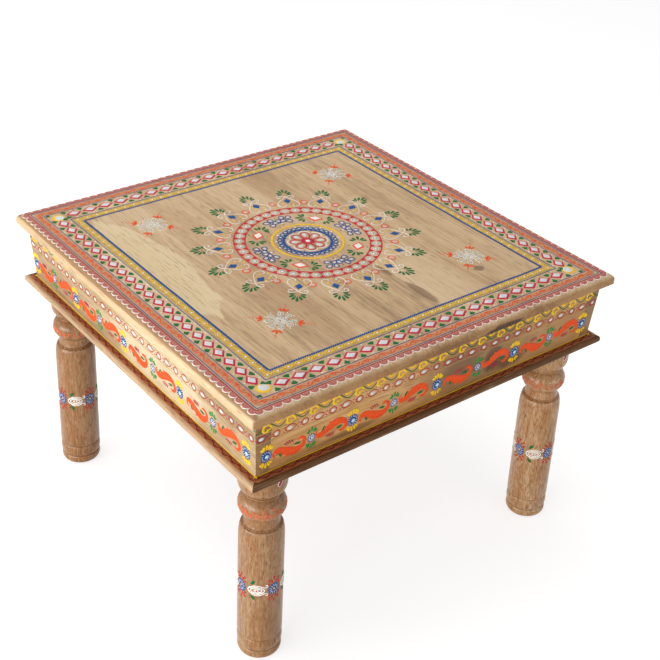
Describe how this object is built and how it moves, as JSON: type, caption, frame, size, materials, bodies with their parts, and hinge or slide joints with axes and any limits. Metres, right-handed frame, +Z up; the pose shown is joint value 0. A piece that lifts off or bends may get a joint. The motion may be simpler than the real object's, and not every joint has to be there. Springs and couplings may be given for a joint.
{
  "type": "low table",
  "caption": "Square low table with a round-edged plank top, a boxed apron over a moulded strip, and four turned legs, painted with folk ornament.",
  "frame": {"origin": "on the floor under the middle of the top", "axes": "+Z up, -Y is the front apron and -X the left apron, whose boards run the table's full length"},
  "size_m": [0.6, 0.6, 0.415],
  "materials": {
    "top_wood": "oiled, satin",
    "frame_wood": "oiled, satin",
    "leg_wood": "turned, oiled, satin",
    "inner_wood": "sawn, bare",
    "fastener_steel": "zinc plated"
  },
  "bodies": {
    "root": {"apron_back": "frame_wood", "apron_front": "frame_wood", "apron_left": "frame_wood", "apron_right": "frame_wood", "batten_back": "inner_wood", "batten_front": "inner_wood", "batten_screw_back_1": "fastener_steel", "batten_screw_back_2": "fastener_steel", "batten_screw_back_3": "fastener_steel", "batten_screw_front_1": "fastener_steel", "batten_screw_front_2": "fastener_steel", "batten_screw_front_3": "fastener_steel", "block_screw_x_back_left": "fastener_steel", "block_screw_x_back_right": "fastener_steel", "block_screw_x_front_left": "fastener_steel", "block_screw_x_front_right": "fastener_steel", "block_screw_y_back_left": "fastener_steel", "block_screw_y_back_right": "fastener_steel", "block_screw_y_front_left": "fastener_steel", "block_screw_y_front_right": "fastener_steel", "corner_block_back_left": "inner_wood", "corner_block_back_right": "inner_wood", "corner_block_front_left": "inner_wood", "corner_block_front_right": "inner_wood", "hanger_bolt_back_left": "fastener_steel", "hanger_bolt_back_right": "fastener_steel", "hanger_bolt_front_left": "fastener_steel", "hanger_bolt_front_right": "fastener_steel", "leg_back_left": "leg_wood", "leg_back_right": "leg_wood", "leg_front_left": "leg_wood", "leg_front_right": "leg_wood", "moulding_back": "frame_wood", "moulding_front": "frame_wood", "moulding_left": "frame_wood", "moulding_right": "frame_wood", "nut_back_left": "fastener_steel", "nut_back_right": "fastener_steel", "nut_front_left": "fastener_steel", "nut_front_right": "fastener_steel", "strip_nail_back_left": "fastener_steel", "strip_nail_back_right": "fastener_steel", "strip_nail_front_left": "fastener_steel", "strip_nail_front_right": "fastener_steel", "strip_nail_left_back": "fastener_steel", "strip_nail_left_front": "fastener_steel", "strip_nail_right_back": "fastener_steel", "strip_nail_right_front": "fastener_steel", "top_board_1": "top_wood", "top_board_2": "top_wood", "top_board_3": "top_wood", "top_board_4": "top_wood", "top_board_5": "top_wood", "top_board_6": "top_wood", "top_board_7": "top_wood", "washer_back_left": "fastener_steel", "washer_back_right": "fastener_steel", "washer_front_left": "fastener_steel", "washer_front_right": "fastener_steel"}
  },
  "joints": []
}
